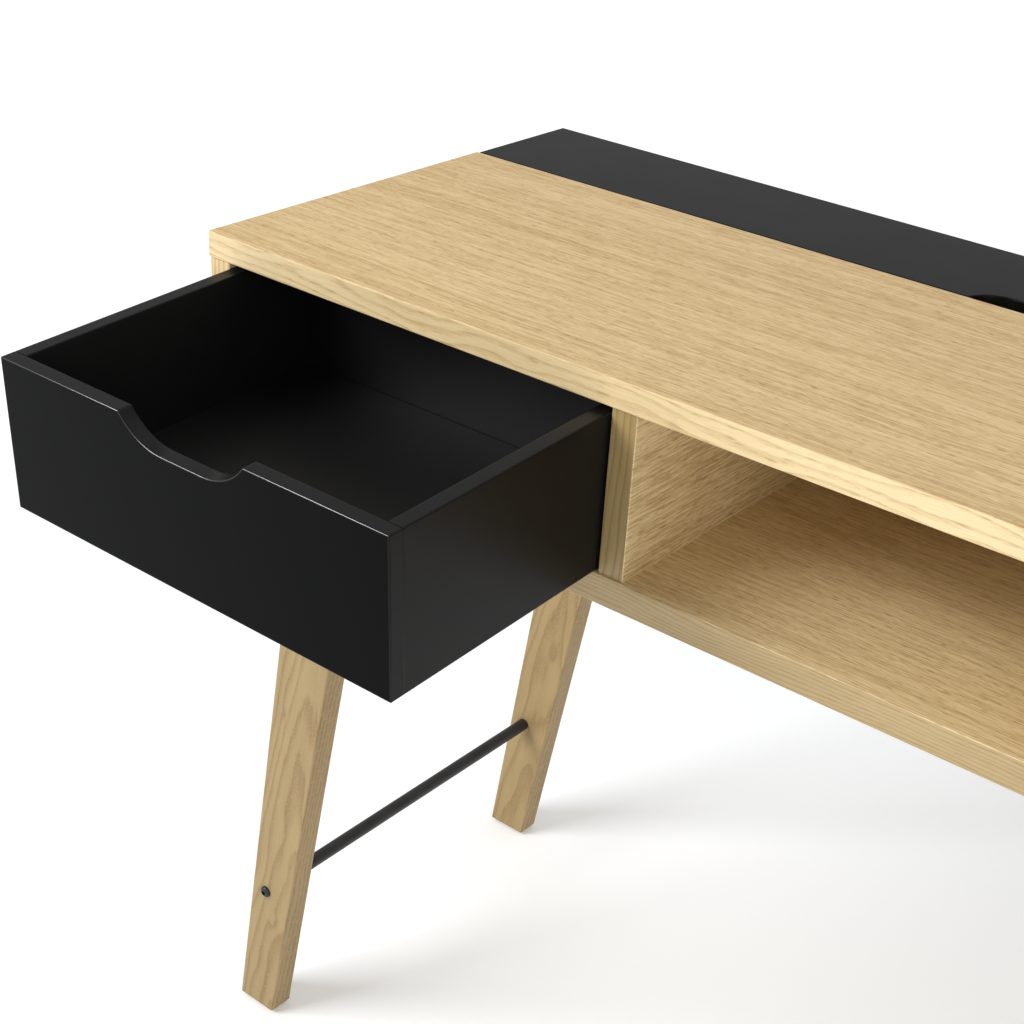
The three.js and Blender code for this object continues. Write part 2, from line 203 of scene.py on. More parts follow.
class Finish:
    """A material whose nodes are written as expressions, ending in one Principled shader."""

    def __init__(self, name, roughness, metallic=0.0, sheen=0.0, coat=0.0, ior=1.45):
        self.material = bpy.data.materials.new(name)
        self.material.use_nodes = True
        self.tree = self.material.node_tree
        self.tree.nodes.clear()
        self.shader = self.tree.nodes.new("ShaderNodeBsdfPrincipled")
        surface = self.tree.nodes.new("ShaderNodeOutputMaterial")
        self.tree.links.new(self.shader.outputs[0], surface.inputs["Surface"])
        self.shader.inputs["Roughness"].default_value = roughness
        self.shader.inputs["Metallic"].default_value = metallic
        self.shader.inputs["Sheen Weight"].default_value = sheen
        self.shader.inputs["Coat Weight"].default_value = coat
        self.shader.inputs["IOR"].default_value = ior

    def node(self, kind, settings=None, sockets=None, output=0):
        """Adds a node, sets it, then feeds its sockets with values or with other outputs."""
        made = self.tree.nodes.new("ShaderNode" + kind)
        for name, value in (settings or {}).items():
            setattr(made, name, value)
        for name, value in (sockets or {}).items():
            self.feed(made.inputs[name], value)
        return Value(self, made.outputs[output])

    def feed(self, socket, value):
        if isinstance(value, Value):
            self.tree.links.new(value.output, socket)
        elif isinstance(value, (tuple, list, Vector)) or hasattr(value, "__len__"):
            numbers = list(value)
            if socket.type == "RGBA":
                numbers = numbers[:3] + [1.0]
            socket.default_value = numbers
        else:
            socket.default_value = value

    def math(self, operation, *values):
        return self.node("Math", {"operation": operation}, dict(enumerate(values)))

    def place(self, shift=(0, 0, 0), turn=(0, 0, 0)):
        """Object coordinates, moved and then turned."""
        here = self.node("TexCoord", output="Object")
        moved = self.node("Mapping", {}, {"Vector": here, "Location": shift})
        return self.node("Mapping", {}, {"Vector": moved, "Rotation": turn})

    def noise(self, place, cell, detail=2.0, rough=0.5):
        """Smooth noise whose features measure about cell, in metres along each axis."""
        scaled = self.node(
            "VectorMath", {"operation": "DIVIDE"}, {0: place, 1: cell}
        )
        return self.node(
            "TexNoise",
            {},
            {"Vector": scaled, "Scale": 1.0, "Detail": detail, "Roughness": rough},
        )

    def blend(self, factor, first, second):
        """Mixes two colours."""
        return self.node(
            "Mix", {"data_type": "RGBA"}, {0: factor, 6: first, 7: second}, output=2
        )

    def set(self, **inputs):
        for name, value in inputs.items():
            self.feed(self.shader.inputs[name.replace("_", " ")], value)

    def bump(self, height, strength, distance):
        raised = self.node(
            "Bump", {}, {"Height": height, "Strength": strength, "Distance": distance}
        )
        self.set(Normal=raised)


# ---- Oak ----

GRAIN = {"X": "XYZ", "Y": "YXZ", "Z": "ZXY"}  # along the grain first, then the two across it


def grain_place(finish, along, shift, turn=(0, 0, 0)):
    """Coordinates with the grain along the first axis."""
    axes = finish.node("SeparateXYZ", {}, {0: finish.place(shift, turn)})
    first, second, third = (axes.also(axis) for axis in GRAIN[along])
    return first, second, third


def combine(finish, along, across, depth):
    return finish.node("CombineXYZ", {}, {0: along, 1: across, 2: depth})


def oak_veneer(name, light, dark, pore, along="X", shift=(0, 0, 0), contrast=1.0):
    """Straight-grained oiled oak: soft bands, fine growth lines and short open pores."""
    finish = Finish(name, 0.5)
    u, v, w = grain_place(finish, along, shift)
    calm = combine(finish, u, v, w)
    sway = finish.noise(calm, (0.45, 0.09, 0.09), 1.0) - 0.5
    v = v + sway * 0.012
    place = combine(finish, u, v, w)
    band = finish.noise(place, (0.9, 0.028, 0.028), 2.0)
    line = finish.noise(place, (0.03, 0.00105, 0.00105), 2.0, 0.6)
    coarse = finish.noise(place, (0.3, 0.0035, 0.0035), 1.0)
    hair = finish.noise(place, (0.025, 0.0007, 0.0007), 1.0)
    dash = finish.noise(place, (0.009, 0.00075, 0.00075), 1.0)
    crowd = coarse.rise(0.35, 0.6)
    open_pore = dash.rise(0.54, 0.66) * (crowd * 0.6 + 0.4)
    tone = (
        line.rise(0.36, 0.64) * 0.6
        + (coarse.rise(0.34, 0.66) - 0.5) * 0.22
        + (band.rise(0.3, 0.72) - 0.5) * 0.22
        + (hair - 0.5) * 0.5
    )
    tone = (tone - 0.25) * contrast + 0.35
    wood = finish.blend(tone.rise(-0.1, 1.1), light, dark)
    finish.set(
        Base_Color=finish.blend(open_pore * 0.55, wood, pore),
        Roughness=0.46 + open_pore * 0.2 + line * 0.1,
    )
    finish.bump(1.0 - open_pore * 0.8 - line * 0.35, 0.35, 0.00012)
    return finish.material


def oak_figured(
    name,
    light,
    dark,
    pore,
    along,
    shift,
    heart,
    turn=(0, 0, 0),
    knots=(),
    tilt=0.02,
    ring_width=0.0045,
    rays=0.1,
):
    """Flat-sawn solid oak: growth rings round a heart line outside the piece, which come out
    as arches along the face, with pores in each ring's early wood, ray flecks and knots."""
    finish = Finish(name, 0.5)
    u, v, w = grain_place(finish, along, shift, turn)
    calm = combine(finish, u, v, w)
    wave = finish.noise(calm, (0.13, 0.03, 0.03), 1.0) - 0.5
    ripple = finish.noise(calm, (0.035, 0.007, 0.007), 1.0) - 0.5
    pull = 0.0
    dark_heart = 0.0
    for where, size in knots:
        reach = ((u - where[0]) / 2.2) ** 2 + (v - where[1]) ** 2 + (w - where[2]) ** 2
        swell = reach.root().rise(size * 3.4, size * 0.4)
        pull = pull + swell * (size * 0.9)
        dark_heart = dark_heart + reach.root().rise(size * 1.3, size * 0.3) + swell * 0.3
    radius = ((v - heart[0]) ** 2 + (w - heart[1]) ** 2).root()
    ring = (radius + u * tilt + wave * 0.013 + ripple * 0.002 + pull) / ring_width
    age = ring.fraction()
    early = age.rise(0.35, 0.95) * age.rise(1.0, 0.86)
    place = combine(finish, u, v, w)
    hair = finish.noise(place, (0.06, 0.0009, 0.0009), 2.0)
    dash = finish.noise(place, (0.014, 0.00085, 0.00085), 1.0)
    patch = finish.noise(place, (0.16, 0.02, 0.02), 2.0)
    fleck = finish.noise(place, (0.0022, 0.0006, 0.006), 1.0).rise(0.52, 0.64)
    open_pore = dash.rise(0.55, 0.66) * (0.25 + early * 0.75)
    tone = early * 0.6 + (hair - 0.5) * 0.5 + (patch - 0.5) * 1.0 + 0.25
    wood = finish.blend(tone.rise(-0.1, 1.1), light, dark)
    wood = finish.blend(fleck * rays, wood, light)
    wood = finish.blend(open_pore * 0.55, wood, pore)
    if knots:
        wood = finish.blend(dark_heart * 0.5, wood, dark)
    finish.set(Base_Color=wood, Roughness=0.44 + open_pore * 0.2 + early * 0.08)
    finish.bump(1.0 - open_pore * 0.8 - early * 0.3, 0.35, 0.00014)
    return finish.material


# ---- Other finishes ----


def black_lacquer(name, base, roughness=0.36, ior=1.22):
    """Sprayed satin lacquer: a very fine peel, and a slight unevenness in its sheen. A low
    index makes a flatter, deeper black."""
    finish = Finish(name, roughness, ior=ior)
    here = finish.place()
    peel = finish.noise(here, (0.0011, 0.0011, 0.0011), 2.0)
    cloud = finish.noise(here, (0.05, 0.05, 0.05), 3.0)
    speck = finish.noise(here, (0.0016, 0.0016, 0.0016), 0.0).rise(0.78, 0.84)
    finish.set(
        Base_Color=finish.blend(speck * 0.25, base, [c * 2 + 0.002 for c in base]),
        Roughness=roughness - 0.03 + cloud * 0.06 + speck * 0.1,
    )
    finish.bump(peel, 0.12, 0.00006)
    return finish.material


def coated_steel(name, base):
    """Powder-coated steel with its fine pebbled skin."""
    finish = Finish(name, 0.42)
    here = finish.place()
    pebble = finish.noise(here, (0.0007, 0.0007, 0.0007), 2.0)
    cloud = finish.noise(here, (0.03, 0.03, 0.03), 2.0)
    finish.set(
        Base_Color=finish.blend(cloud.rise(0.3, 0.7), base, [c * 1.5 for c in base]),
        Roughness=0.38 + cloud * 0.1,
    )
    finish.bump(pebble, 0.3, 0.0001)
    return finish.material


def zinc_plate(name, base):
    """Bright zinc with faint turning marks and a few dull patches."""
    finish = Finish(name, 0.28, metallic=1.0)
    here = finish.place()
    mark = finish.noise(here, (0.004, 0.0004, 0.0004), 2.0)
    cloud = finish.noise(here, (0.004, 0.004, 0.004), 2.0)
    finish.set(
        Base_Color=finish.blend(cloud.rise(0.35, 0.75), base, [c * 0.72 for c in base]),
        Roughness=0.22 + mark * 0.12 + cloud * 0.1,
    )
    finish.bump(mark, 0.15, 0.00005)
    return finish.material


def moulded_nylon(name):
    finish = Finish(name, 0.55)
    here = finish.place()
    grain = finish.noise(here, (0.0005, 0.0005, 0.0005), 2.0)
    finish.set(
        Base_Color=finish.blend(grain, (0.02, 0.02, 0.021), (0.03, 0.03, 0.03)),
        Roughness=0.5 + grain * 0.12,
    )
    finish.bump(grain, 0.2, 0.00005)
    return finish.material


def pressed_felt(name, base):
    """Felt: matted fibres, with a soft sheen where they stand up."""
    finish = Finish(name, 0.95, sheen=0.4)
    here = finish.place()
    mat = finish.noise(here, (0.0018, 0.0006, 0.0006), 4.0, 0.7)
    cross = finish.noise(here, (0.0006, 0.0018, 0.0006), 4.0, 0.7)
    fibre = mat * 0.5 + cross * 0.5
    finish.set(Base_Color=finish.blend(fibre.rise(0.35, 0.65), base, [c * 1.9 for c in base]))
    finish.bump(fibre, 0.7, 0.0004)
    return finish.material


def studio_paper(name, base):
    """White paper that glows a little away from the desk, where the lamps don't reach."""
    finish = Finish(name, 0.8, ior=1.2)
    here = finish.place()
    tooth = finish.noise(here, (0.004, 0.004, 0.004), 3.0)
    far = finish.node("VectorMath", {"operation": "LENGTH"}, {0: here}, output="Value")
    finish.shader.inputs["Emission Strength"].default_value = 0.5
    finish.set(
        Base_Color=finish.blend(tooth, base, [c * 0.99 for c in base]),
        Emission_Color=finish.blend(far.rise(0.7, 4.0), (0.36, 0.36, 0.36), (1.12, 1.1, 1.08)),
    )
    return finish.material


# ---- Making pieces ----


def box_mesh(low, high):
    """A bmesh box between two corners."""
    bm = bmesh.new()
    bmesh.ops.create_cube(bm, size=1)
    bmesh.ops.scale(bm, vec=high - low, verts=bm.verts)
    bmesh.ops.translate(bm, vec=(high + low) / 2, verts=bm.verts)
    return bm


def ease_edges(bm, radius, segments=3, seam=None):
    """Rounds the sharp edges except those that seam picks out, then rings each wide face with
    a narrow border, so that smooth shading stays level across it."""
    bm.normal_update()
    sharp = math.radians(30)
    edges = [e for e in bm.edges if e.calc_face_angle(0) > sharp and not (seam and seam(e))]
    made = bmesh.ops.bevel(
        bm,
        geom=edges,
        offset=radius,
        offset_type="OFFSET",
        segments=segments,
        affect="EDGES",
        profile=0.5,
        material=-1,
        clamp_overlap=True,
    )
    bm.normal_update()
    wide = (14 * radius) ** 2
    rounded = set(made["faces"])
    faces = [f for f in bm.faces if f not in rounded and f.calc_area() > wide]
    bmesh.ops.inset_individual(bm, faces=faces, thickness=radius * 0.8, use_even_offset=True)
    bm.normal_update()


def seam_at(*planes):
    """Picks the edges that lie in any of these (axis, place) planes."""

    def lies(edge):
        return any(
            all(abs(v.co[axis] - place) < 1e-5 for v in edge.verts) for axis, place in planes
        )

    return lies


def edge_axis(normal):
    """The row axis that a face looks along."""
    sizes = [abs(value) for value in normal]
    return sizes.index(max(sizes))


def finish_piece(bm, name, materials, body, replaces=(), smooth=True):
    """Turns a bmesh into a shown piece that rides on a body and stands for CAD nodes."""
    mesh = bpy.data.meshes.new(name)
    bm.to_mesh(mesh)
    bm.free()
    if smooth:
        mesh.shade_smooth()
        mesh.set_sharp_from_angle(angle=math.radians(40))
    for material in materials:
        mesh.materials.append(material)
    piece = bpy.data.objects.new(name, mesh)
    bpy.context.scene.collection.objects.link(piece)
    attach(piece, body)
    if replaces:
        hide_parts(*replaces)
    return piece


def dress(node, material):
    """Gives a CAD node its finish."""
    slots = frame["nodes"][node].data.materials
    slots.clear()
    slots.append(material)


def board(name, faces, ease, bands=None, upright=False):
    """A board in place of the CAD node of that name. faces is the material of its broad faces,
    and bands gives another for the edges that look along an axis. An upright board is glued
    between the top and bottom boards."""
    low, high = (Vector(corner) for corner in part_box(name))
    seam = None
    if upright:
        low.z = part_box("bottom_board")[1].z
        high.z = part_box("top_board")[0].z
        seam = seam_at((2, low.z), (2, high.z))
    bm = box_mesh(low, high)
    ease_edges(bm, ease, seam=seam)
    materials = [faces]
    size = high - low
    thin = list(size).index(min(size))
    bands = bands or {}
    for axis, material in bands.items():
        materials.append(material)
        for face in bm.faces:
            looks = edge_axis(face.normal)
            if looks == axis and looks != thin:
                face.material_index = len(materials) - 1
    return finish_piece(bm, name + "_board", materials, "desk", [name])


def notched_outline(bm, low, high, centre, half, depth, radius, steps, up):
    """An outline in the plane of X and the axis up, with a notch in the edge at high on up.
    The notch has a flat bottom between two round ends."""
    run = math.sqrt(radius**2 - (radius - depth) ** 2)
    flat = half - run
    sweep = math.atan2(run, radius - depth)
    axis = Vector((0, 1, 0)) if up == 2 else Vector((0, 0, -1))

    def point(x, rise):
        corner = Vector(low)
        corner.x = x
        corner[up] = rise
        return corner

    top = high[up]
    chain = [bm.verts.new(point(low.x, low[up])), bm.verts.new(point(high.x, low[up]))]
    chain.append(bm.verts.new(point(high.x, top)))
    for start, middle in (
        (point(centre + half, top), point(centre + flat, top - depth + radius)),
        (point(centre - flat, top - depth), point(centre - flat, top - depth + radius)),
    ):
        first = bm.verts.new(start)
        before = set(bm.verts)
        bmesh.ops.spin(
            bm, geom=[first], cent=middle, axis=axis, angle=sweep, steps=steps, use_duplicate=False
        )
        arc = [v for v in bm.verts if v not in before]
        arc.sort(key=lambda v: -v.co.x)
        chain += [first, *arc]
    chain.append(bm.verts.new(point(low.x, top)))
    return bm.faces.new(chain)


def extrude_face(bm, face, vector):
    """Makes a flat face into a closed solid that reaches along vector."""
    made = bmesh.ops.extrude_face_region(bm, geom=[face], use_keep_orig=True)
    moved = [v for v in made["geom"] if isinstance(v, bmesh.types.BMVert)]
    bmesh.ops.translate(bm, vec=vector, verts=moved)
    bmesh.ops.recalc_face_normals(bm, faces=bm.faces)


# ---- Places that the frame's joints give ----


def joint(name):
    return next(j for j in frame["joints"] if j["name"] == name)


def open_drawer_matrix():
    """Moves a piece of the closed right drawer to where the left drawer stands: across the
    desk, out by its travel and tipped about its glides by the droop that goes with it."""
    coupling = next(
        c
        for c in frame["record"]["behaviour"]["couplings"]
        if c["joint"] == "left_drawer_droop"
    )
    droop = -joint("left_drawer_slide")["range_m"][0] * coupling["ratio"]
    there = Matrix.Translation(Vector(joint("left_drawer_droop")["pos_m"]))
    here = Matrix.Translation(-Vector(joint("right_drawer_droop")["pos_m"]))
    return there @ Matrix.Rotation(droop, 4, "X") @ here


# ---- Operators ----


class MakeBoards(bpy.types.Operator):
    """Make the oak top, bottom, sides, dividers and inner walls"""

    bl_idname = "desk.make_boards"
    bl_label = "Make Oak Boards"

    def execute(self, context):
        sizes, look = context.scene.desk_sizes, context.scene.desk_colours
        oak = (look.oak_light, look.oak_dark, look.oak_pore)
        bay = (look.bay_light, look.bay_dark, look.oak_pore)
        # Edge band tones: partly the band's own wood, partly painted light on the boards' front and end edges.
        band = (look.band_lit_light, look.band_lit_dark, look.oak_pore)
        band_lit_x = oak_figured(
            "oak_band_lit_x", *band, "X", (0, 0.3, -0.6), (0.02, 0.05), tilt=0.008, ring_width=0.0028
        )
        # A darker copy of the edge band for the bottom board's front edge: painted shade.
        shaded_sill = (look.shelf_shaded_light, look.shelf_shaded_dark, look.oak_pore)
        shaded_sill_x = oak_figured(
            "oak_shaded_sill_x", *shaded_sill, "X", (0.7, 0.1, -0.6), (0.015, 0.06), tilt=0.01, ring_width=0.003
        )
        band_lit_y = oak_figured("oak_band_lit_y", *band, "Y", (0.1, 0, -0.65), (0.02, 0.04))
        # A darker copy of the edge band for the dividers' front edges: painted shade.
        shaded_divider_edge = (look.upright_shaded_light, look.upright_shaded_dark, look.oak_pore)
        panel = (look.oak_light, look.oak_dark, look.oak_pore)
        band_z = oak_figured("oak_band_z", *panel, "Z", (0.16, 0.1, 0), (0.01, 0.05))
        shaded_divider_z = oak_figured("oak_shaded_divider_z", *shaded_divider_edge, "Z", (0.11, 0.2, 0), (0.01, 0.05))
        ease = sizes.board_ease
        top = oak_veneer("oak_top", *oak, "X", (0.2, 0.1, 0))
        board("top_board", top, ease, bands={1: band_lit_x, 0: band_lit_y})
        shelf = oak_veneer("oak_shelf", *bay, "X", (1.3, 0.7, 0), contrast=1.3)
        board("bottom_board", shelf, ease, bands={1: shaded_sill_x, 0: band_lit_y})
        wall = oak_veneer("oak_wall", *bay, "X", (2.1, 0.3, 0.2))
        board("compartment_wall", wall, ease / 2)
        for offset, side in enumerate(SIDES):
            upright = oak_veneer(
                "oak_upright_" + side, *bay, "Y", (0.37 * offset, 0.9, 0.4), contrast=1.6
            )
            for node in (side + "_divider", side + "_side_panel"):
                board(
                    node,
                    upright,
                    ease,
                    bands={1: shaded_divider_z if node.endswith("divider") else band_z},
                    upright=node.endswith("divider"),
                )
        dress("back_panel", wall)
        return {"FINISHED"}


class MakeLid(bpy.types.Operator):
    """Make the black lid with its notch, and the felt dots that it closes on"""

    bl_idname = "desk.make_lid"
    bl_label = "Make Lid"

    def execute(self, context):
        sizes, look = context.scene.desk_sizes, context.scene.desk_colours
        low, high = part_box("lid")
        bm = bmesh.new()
        # The notch is in the front edge, so the outline is drawn turned round and then back.
        face = notched_outline(
            bm,
            Vector((low.x, -high.y, low.z)),
            Vector((high.x, -low.y, low.z)),
            (low.x + high.x) / 2,
            sizes.notch_half,
            sizes.notch_depth,
            sizes.notch_radius,
            sizes.curve_steps,
            up=1,
        )
        extrude_face(bm, face, Vector((0, 0, high.z - low.z)))
        bmesh.ops.scale(bm, vec=(1, -1, 1), verts=bm.verts)
        bmesh.ops.recalc_face_normals(bm, faces=bm.faces)
        ease_edges(bm, sizes.drawer_ease)
        lacquer = black_lacquer("lid_lacquer", look.lacquer * 0.6, 0.34, 1.22)
        finish_piece(bm, "lid_board", [lacquer], "lid", ["lid"])
        self.felt_dots(sizes, low, high, look)
        return {"FINISHED"}

    def felt_dots(self, sizes, low, high, look):
        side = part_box("left_side_panel")
        middle = (side[0].x + side[1].x) / 2
        bm = bmesh.new()
        for x in (middle, -middle):
            place = Matrix.Translation(Vector((x, low.y + 0.02, low.z - 0.0001)))
            made = bmesh.ops.create_cone(
                bm,
                cap_ends=True,
                segments=24,
                radius1=sizes.bumper_radius,
                radius2=sizes.bumper_radius,
                depth=0.0002,
                matrix=place,
            )
            assert made["verts"]
        felt = pressed_felt("bumper_felt", look.felt)
        finish_piece(bm, "lid_bumpers", [felt], "lid")


class MakeDrawers(bpy.types.Operator):
    """Make both black drawers, the left one where it stands open"""

    bl_idname = "desk.make_drawers"
    bl_label = "Make Drawers"

    def execute(self, context):
        sizes, look = context.scene.desk_sizes, context.scene.desk_colours
        lacquer = black_lacquer("drawer_lacquer", look.lacquer, ior=1.26)
        # The fronts' outer faces take a darker, flatter copy of the lacquer: painted shade, so the fronts look
        # darker than the sides.
        flat = black_lacquer("drawer_front_painted_shade_lacquer", look.lacquer * 0.35, 0.3, 1.1)
        worn = black_lacquer("drawer_arris_lacquer", look.lacquer, 0.3, 1.85)
        # The inner faces take a lighter copy of the lacquer: painted light inside the drawer, where little light
        # reaches.
        inside = black_lacquer("drawer_inner_painted_light_lacquer", look.lacquer * 1.5, 0.42, 1.45)
        nylon = moulded_nylon("glide_nylon")
        for side in SIDES:
            place = open_drawer_matrix() if side == "left" else Matrix.Identity(4)
            made = {
                "front": self.front(sizes),
                "left_side": self.side("left_side", sizes),
                "right_side": self.side("right_side", sizes),
                "back": self.back(sizes),
                "floor": self.floor(),
            }
            for piece, bm in made.items():
                bmesh.ops.transform(bm, matrix=place, verts=bm.verts)
                node = f"{side}_drawer_{piece}"
                # The floor has only the lighter inner coat, which is painted light; the other boards carry all
                # four coats.
                coats = [inside] if piece == "floor" else [lacquer, flat, worn, inside]
                finish_piece(
                    bm, node + "_board", coats, side + "_drawer", [node]
                )
            for hand in SIDES:
                dress(f"{side}_drawer_{hand}_glide", nylon)
        return {"FINISHED"}

    def front(self, sizes):
        low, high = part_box("right_drawer_front")
        bm = bmesh.new()
        face = notched_outline(
            bm,
            low,
            high,
            (low.x + high.x) / 2,
            sizes.scoop_half,
            sizes.scoop_depth,
            sizes.scoop_radius,
            sizes.curve_steps,
            up=2,
        )
        extrude_face(bm, face, Vector((0, high.y - low.y, 0)))

        def glued(edge):
            first, second = edge.verts
            upright = abs(first.co.x - second.co.x) < 1e-6
            at_end = min(abs(first.co.x - low.x), abs(first.co.x - high.x)) < 1e-5
            return upright and at_end and abs(first.co.y - high.y) < 1e-5

        ease_edges(bm, sizes.drawer_ease, seam=glued)
        # The outer front faces take the darker coat: painted shade.
        self.paint(bm, (0, -1, 0), 1)
        for face in bm.faces:
            out, up = -face.normal.y, face.normal.z
            if out > 0.3 and up > 0.3:
                face.material_index = 2
        # The inner face takes the lighter coat: painted light.
        self.paint(bm, (0, 1, 0), 3)
        return bm

    def paint(self, bm, towards, coat):
        """Gives the flat faces that look one way another coat. The darker front coat is painted shade, the lighter
        inner coat painted light.
        """
        for face in bm.faces:
            if face.normal.dot(Vector(towards)) > 0.99:
                face.material_index = coat

    def side(self, piece, sizes):
        """A side wall. Its front end is glued and painted over, so that edge stays sharp."""
        low, high = (Vector(corner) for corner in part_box("right_drawer_" + piece))
        low.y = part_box("right_drawer_front")[1].y
        bm = box_mesh(low, high)
        ease_edges(bm, sizes.drawer_ease, seam=seam_at((1, low.y)))
        # The inner face takes the lighter coat: painted light.
        self.paint(bm, (1, 0, 0) if piece == "left_side" else (-1, 0, 0), 3)
        return bm

    def back(self, sizes):
        """The back wall, glued between or behind the sides."""
        low, high = (Vector(corner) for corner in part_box("right_drawer_back"))
        low.x = max(low.x - 0.0005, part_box("right_drawer_left_side")[0].x)
        high.x = min(high.x + 0.0005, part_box("right_drawer_right_side")[1].x)
        bm = box_mesh(low, high)
        ease_edges(bm, sizes.drawer_ease, seam=seam_at((0, low.x), (0, high.x)))
        # The inner face takes the lighter coat: painted light.
        self.paint(bm, (0, -1, 0), 3)
        return bm

    def floor(self):
        """The floor between the four walls; its edges in the grooves don't show."""
        low, high = (Vector(corner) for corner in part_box("right_drawer_floor"))
        gap = 0.0005
        low.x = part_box("right_drawer_left_side")[1].x + gap
        high.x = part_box("right_drawer_right_side")[0].x - gap
        low.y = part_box("right_drawer_front")[1].y + gap
        high.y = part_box("right_drawer_back")[0].y - gap
        bm = box_mesh(low, high)
        ease_edges(bm, 0.0003, 2)
        return bm


class MakeLegs(bpy.types.Operator):
    """Make the splayed solid oak legs with their plates, screws and pads"""

    bl_idname = "desk.make_legs"
    bl_label = "Make Legs"

    def execute(self, context):
        sizes, look = context.scene.desk_sizes, context.scene.desk_colours
        steel = coated_steel("plate_steel", look.steel)
        zinc = zinc_plate("screw_zinc", look.zinc)
        felt = pressed_felt("pad_felt", look.felt)
        for index, (end, side) in enumerate((e, s) for s in SIDES for e in ENDS):
            self.leg(f"{end}_{side}", index, sizes, look)
            dress(f"leg_plate_{end}_{side}", steel)
            dress(f"foot_pad_{end}_{side}", felt)
            for screw in "ab":
                dress(f"leg_screw_{end}_{side}_{screw}", zinc)
        return {"FINISHED"}

    def leg(self, name, index, sizes, look):
        node = "leg_" + name
        low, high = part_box(node)
        foot, top = (self.ends(node, level) for level in (low.z, high.z))
        bm = box_mesh(low, high)
        for vert in bm.verts:
            near = top if vert.co.z > (low.z + high.z) / 2 else foot
            vert.co.x = near[0] if vert.co.x < (low.x + high.x) / 2 else near[1]
        ease_edges(bm, sizes.leg_ease)
        lean = math.atan2((sum(top) - sum(foot)) / 2, high.z - low.z)
        middle = Vector((sum(foot) / 2, (low.y + high.y) / 2, low.z))
        knots = [
            ((0.11 + 0.13 * index % 0.4, 0.009, -0.0115), 0.0022),
            ((0.34 + 0.07 * index % 0.2, -0.012, -0.0115), 0.0016),
        ]
        # The leg's darkened oak is painted shade under the desk and the open drawer.
        grain = oak_figured(
            "oak_" + node,
            look.leg_shaded_light,
            look.leg_shaded_dark,
            look.oak_pore,
            "Z",
            -middle,
            (0.017 - 0.009 * index, 0.034),
            (0, -lean, 0),
            knots,
            tilt=0.045,
            rays=0.8,
        )
        finish_piece(bm, node + "_solid", [grain], "desk", [node])

    def ends(self, node, level):
        """The leg's left and right edges at one level."""
        xs = [v.co.x for v in frame["nodes"][node].data.vertices if abs(v.co.z - level) < 1e-5]
        return min(xs), max(xs)


def turned_piece(bm, profile, place, steps=32):
    """Spins a half section of (radius, height) points about Z and returns the verts it made. The place argument is
    not used; the callers move the verts into place.
    """
    verts = [bm.verts.new((radius, 0, height)) for radius, height in profile]
    edges = [bm.edges.new(pair) for pair in zip(verts, verts[1:])]
    before = {v for v in bm.verts if v not in verts}
    bmesh.ops.spin(
        bm,
        geom=verts + edges,
        cent=(0, 0, 0),
        axis=(0, 0, 1),
        angle=2 * math.pi,
        steps=steps,
        use_merge=True,
        use_duplicate=False,
    )
    made = [v for v in bm.verts if v not in before]
    bmesh.ops.remove_doubles(bm, verts=made, dist=1e-7)
    made = [v for v in bm.verts if v not in before]
    bmesh.ops.recalc_face_normals(bm, faces=list({f for v in made for f in v.link_faces}))
    return made


def shape_recess(verts, level, radius, reach):
    """Moves a round recess's verts to radius times reach(angle), down from a level."""
    for vert in verts:
        flat = math.hypot(vert.co.x, vert.co.y)
        if vert.co.z <= level + 1e-7 and 0.5 * radius < flat < 1.02 * radius:
            scale = reach(math.atan2(vert.co.y, vert.co.x))
            vert.co.x *= scale
            vert.co.y *= scale


def hexagon(angle):
    """How far a hexagon's side lies at an angle, as a share of its corners."""
    sixth = math.pi / 3
    return math.cos(sixth / 2) / math.cos(angle % sixth - sixth / 2)


def cross(angle):
    """The outline of a cross recess, as a share of its arms."""
    return 0.38 + 0.62 * abs(math.cos(2 * angle)) ** 3


class MakeRods(bpy.types.Operator):
    """Make the steel rods between the legs, and their button-head screws"""

    bl_idname = "desk.make_rods"
    bl_label = "Make Rods"

    def execute(self, context):
        look = context.scene.desk_colours
        steel = coated_steel("rod_steel", look.steel)
        for side in SIDES:
            self.rod(side, steel)
            for end in ENDS:
                self.screw(end, side, steel)
        return {"FINISHED"}

    def rod(self, side, steel):
        low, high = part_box("rod_" + side)
        radius = (high.z - low.z) / 2
        length_y = high.y - low.y
        ease = 0.0006
        bm = bmesh.new()
        profile = [
            (0, 0),
            (radius - ease, 0),
            (radius, ease),
            (radius, length_y - ease),
            (radius - ease, length_y),
            (0, length_y),
        ]
        made = turned_piece(bm, profile, None, 48)
        middle = Vector(((low.x + high.x) / 2, low.y, (low.z + high.z) / 2))
        place = Matrix.Translation(middle) @ Matrix.Rotation(-math.pi / 2, 4, "X")
        bmesh.ops.transform(bm, matrix=place, verts=made)
        finish_piece(bm, f"rod_{side}_bar", [steel], "desk", [f"rod_{side}"])

    def screw(self, end, side, steel):
        """A button head with a hexagon socket. Its shank is inside the leg and isn't made."""
        node = f"rod_screw_{end}_{side}"
        low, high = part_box(node)
        radius = (high.z - low.z) / 2
        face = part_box(f"leg_{end}_{side}")[0 if end == "front" else 1].y
        outer = low.y if end == "front" else high.y
        height = abs(face - outer)
        socket, depth = radius * 0.42, height * 0.62
        dome = [(radius * math.cos(a), height * (0.22 + 0.78 * math.sin(a)))
                for a in (math.radians(d) for d in (0, 12, 25, 38, 50, 60))]
        profile = [(0, 0), (radius, 0), *dome]
        profile += [(socket * 1.08, height), (socket, height - 0.0001)]
        profile += [(socket, height - depth), (0, height - depth)]
        bm = bmesh.new()
        made = turned_piece(bm, profile, None, 48)
        shape_recess(made, height - 0.00005, socket, hexagon)
        turn = math.pi / 2 if end == "front" else -math.pi / 2
        middle = Vector(((low.x + high.x) / 2, face, (low.z + high.z) / 2))
        place = Matrix.Translation(middle) @ Matrix.Rotation(turn, 4, "X")
        bmesh.ops.transform(bm, matrix=place, verts=made)
        finish_piece(bm, node + "_head", [steel], "desk", [node])


